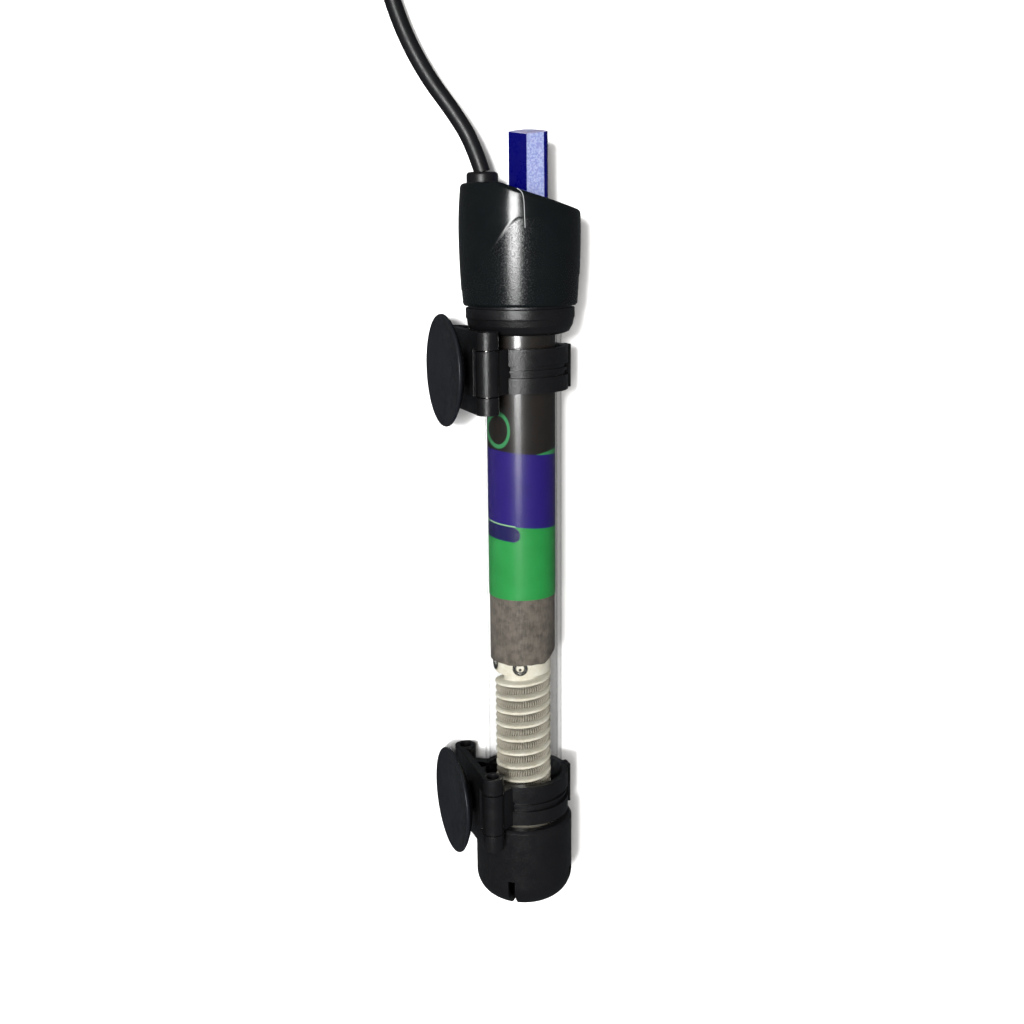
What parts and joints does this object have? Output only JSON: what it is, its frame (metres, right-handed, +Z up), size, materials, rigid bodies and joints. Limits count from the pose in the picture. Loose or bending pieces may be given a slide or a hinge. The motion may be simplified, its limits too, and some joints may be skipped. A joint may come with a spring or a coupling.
{
  "type": "submersible aquarium heater",
  "caption": "Glass-tube submersible aquarium heater with a ceramic element, a setting knob, a mains lead and sliding suction-cup clamps.",
  "frame": {"origin": "on the table, under the middle of the heater without its lead and half-way along it", "axes": "+Y along the glass tube from the guard cap to the head, +Z up from the table, -X the way the suction cups face"},
  "size_m": [0.0742, 0.3693, 0.0314],
  "materials": {
    "clear_glass": "clear, smooth",
    "label_film": "printed film behind glass, dark with indigo and green bands",
    "fibre_sleeve": "grey-brown mottled fibre tube",
    "cream_ceramic": "unglazed, slightly rough",
    "resistance_wire": "dull, finely coiled",
    "bright_metal": "bright",
    "mica": "layered, satin",
    "fibre_pad": "matted glass fibre",
    "black_plastic": "moulded, fine grain",
    "head_plastic": "glossy top, finely textured flank",
    "stopper_plastic": "moulded",
    "seal_rubber": "matt",
    "dial_plastic": "printed ring",
    "knob_blue": "deep blue, frosted on the lit side",
    "white_plastic": "moulded",
    "brass": "satin",
    "bimetal": "rolled strip",
    "magnet": "sintered",
    "lamp_glass": "tinted",
    "capacitor_blue": "dipped",
    "soft_pvc": "soft, satin",
    "cord_pvc": "smooth, glossy",
    "tie_plastic": "ribbed strip",
    "plated_pin": "nickel plated"
  },
  "bodies": {
    "heater": {"glass_tube": "clear_glass", "label_sleeve": "label_film", "insulation_sleeve": "fibre_sleeve", "ceramic_core": "cream_ceramic", "heating_coil": "resistance_wire", "element_terminals": "bright_metal", "core_spacers": "mica", "element_leads": "bright_metal", "end_cushion": "fibre_pad", "guard_cap": "black_plastic", "seal_collar": "black_plastic", "tube_plug": "stopper_plastic", "plug_o_rings": "seal_rubber", "spindle_o_ring": "seal_rubber", "head_shell": "head_plastic", "dial_ring": "dial_plastic", "cable_gland": "seal_rubber", "thermostat_frame": "white_plastic", "lever_pin": "bright_metal", "snap_magnet": "magnet", "indicator_lamp": "lamp_glass", "lamp_resistor": "cream_ceramic", "capacitor": "capacitor_blue", "supply_leads": "brass", "mains_cord": "cord_pvc", "cord_coil": "cord_pvc", "cord_tail": "cord_pvc", "coil_tie": "tie_plastic", "plug_relief": "cord_pvc", "plug_body": "black_plastic", "plug_pins": "plated_pin"},
    "knob": {"knob": "knob_blue", "spindle": "white_plastic", "adjuster_cam": "brass"},
    "lever": {"contact_lever": "brass", "fixed_contact": "bright_metal"},
    "bimetal": {"bimetal_strip": "bimetal", "moving_contact": "bright_metal"},
    "upper_clamp": {"upper_bracket": "black_plastic", "upper_hinge_pins": "bright_metal"},
    "upper_front_jaw": {"upper_front_jaw": "black_plastic"},
    "upper_rear_jaw": {"upper_rear_jaw": "black_plastic"},
    "upper_cup": {"upper_suction_cup": "soft_pvc"},
    "lower_clamp": {"lower_bracket": "black_plastic", "lower_hinge_pins": "bright_metal"},
    "lower_front_jaw": {"lower_front_jaw": "black_plastic"},
    "lower_rear_jaw": {"lower_rear_jaw": "black_plastic"},
    "lower_cup": {"lower_suction_cup": "soft_pvc"}
  },
  "joints": [
    {"name": "knob_turn", "type": "hinge", "parent": "heater", "child": "knob", "pos_m": [0.00556, 0.088, 0.01656], "axis": [0, 1, 0], "range_deg": [-150, 150]},
    {"name": "lever_tilt", "type": "hinge", "parent": "heater", "child": "lever", "pos_m": [-0.00148, 0.049, 0.01399], "axis": [0.342, 0, -0.9397], "range_deg": [-2.9, 2.9]},
    {"name": "bimetal_bend", "type": "hinge", "parent": "heater", "child": "bimetal", "pos_m": [0.00528, 0.002, 0.01645], "axis": [-0.342, 0, 0.9397], "range_deg": [-2, 2], "stiffness_Nm_per_rad": 0.02},
    {"name": "upper_clamp_slide", "type": "slide", "parent": "heater", "child": "upper_clamp", "axis": [0, 1, 0], "range_m": [-0.066, 0.0015]},
    {"name": "upper_front_jaw_hinge", "type": "hinge", "parent": "upper_clamp", "child": "upper_front_jaw", "pos_m": [-0.01098, 0.0481, 0.0283], "axis": [0, -1, 0], "range_deg": [0, 60]},
    {"name": "upper_rear_jaw_hinge", "type": "hinge", "parent": "upper_clamp", "child": "upper_rear_jaw", "pos_m": [-0.01098, 0.0481, 0.0031], "axis": [0, 1, 0], "range_deg": [0, 60]},
    {"name": "upper_cup_turn", "type": "hinge", "parent": "upper_clamp", "child": "upper_cup", "pos_m": [-0.01379, 0.0481, 0.0157], "axis": [-1, 0, 0], "continuous": true},
    {"name": "lower_clamp_slide", "type": "slide", "parent": "heater", "child": "lower_clamp", "axis": [0, 1, 0], "range_m": [-0.0014, 0.028]},
    {"name": "lower_front_jaw_hinge", "type": "hinge", "parent": "lower_clamp", "child": "lower_front_jaw", "pos_m": [-0.01098, -0.0787, 0.0283], "axis": [0, -1, 0], "range_deg": [0, 60]},
    {"name": "lower_rear_jaw_hinge", "type": "hinge", "parent": "lower_clamp", "child": "lower_rear_jaw", "pos_m": [-0.01098, -0.0787, 0.0031], "axis": [0, 1, 0], "range_deg": [0, 60]},
    {"name": "lower_cup_turn", "type": "hinge", "parent": "lower_clamp", "child": "lower_cup", "pos_m": [-0.01379, -0.0787, 0.0157], "axis": [-1, 0, 0], "continuous": true}
  ],
  "couplings": [
    {"joint": "lever_tilt", "follows": "knob_turn", "ratio": 0.018543}
  ]
}
